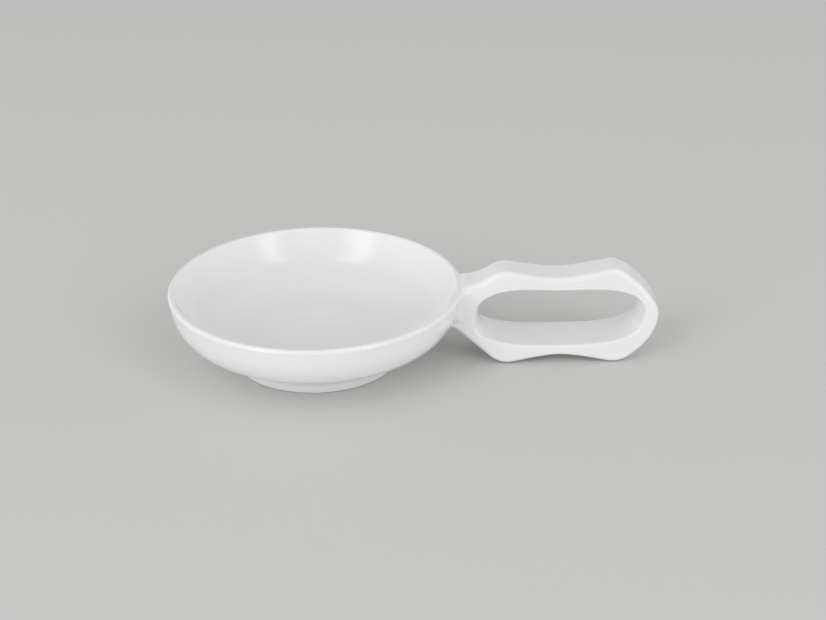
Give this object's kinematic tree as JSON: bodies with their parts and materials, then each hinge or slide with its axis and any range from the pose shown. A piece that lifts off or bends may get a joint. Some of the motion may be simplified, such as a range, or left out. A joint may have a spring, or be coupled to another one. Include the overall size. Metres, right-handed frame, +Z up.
{
  "type": "sauce dish with chopstick rest handle",
  "caption": "Shallow round white porcelain sauce dish on a foot ring, with an upright loop handle whose hollowed top edge rests chopsticks.",
  "frame": {"origin": "on the table, under the middle of the whole outline from the bowl's rim to the handle's nose", "axes": "+X from the bowl towards the handle's nose, +Z up, +Y across"},
  "size_m": [0.13, 0.078, 0.0257],
  "materials": {
    "white_glaze": "clear glossy glaze over white porcelain",
    "foot_glaze": "glossy glaze, wiped back to bare porcelain where the ring stands"
  },
  "bodies": {
    "root": {"dish_bowl": "white_glaze", "foot_ring": "foot_glaze", "handle_loop": "white_glaze", "handle_luting_fillet": "white_glaze"}
  },
  "joints": []
}
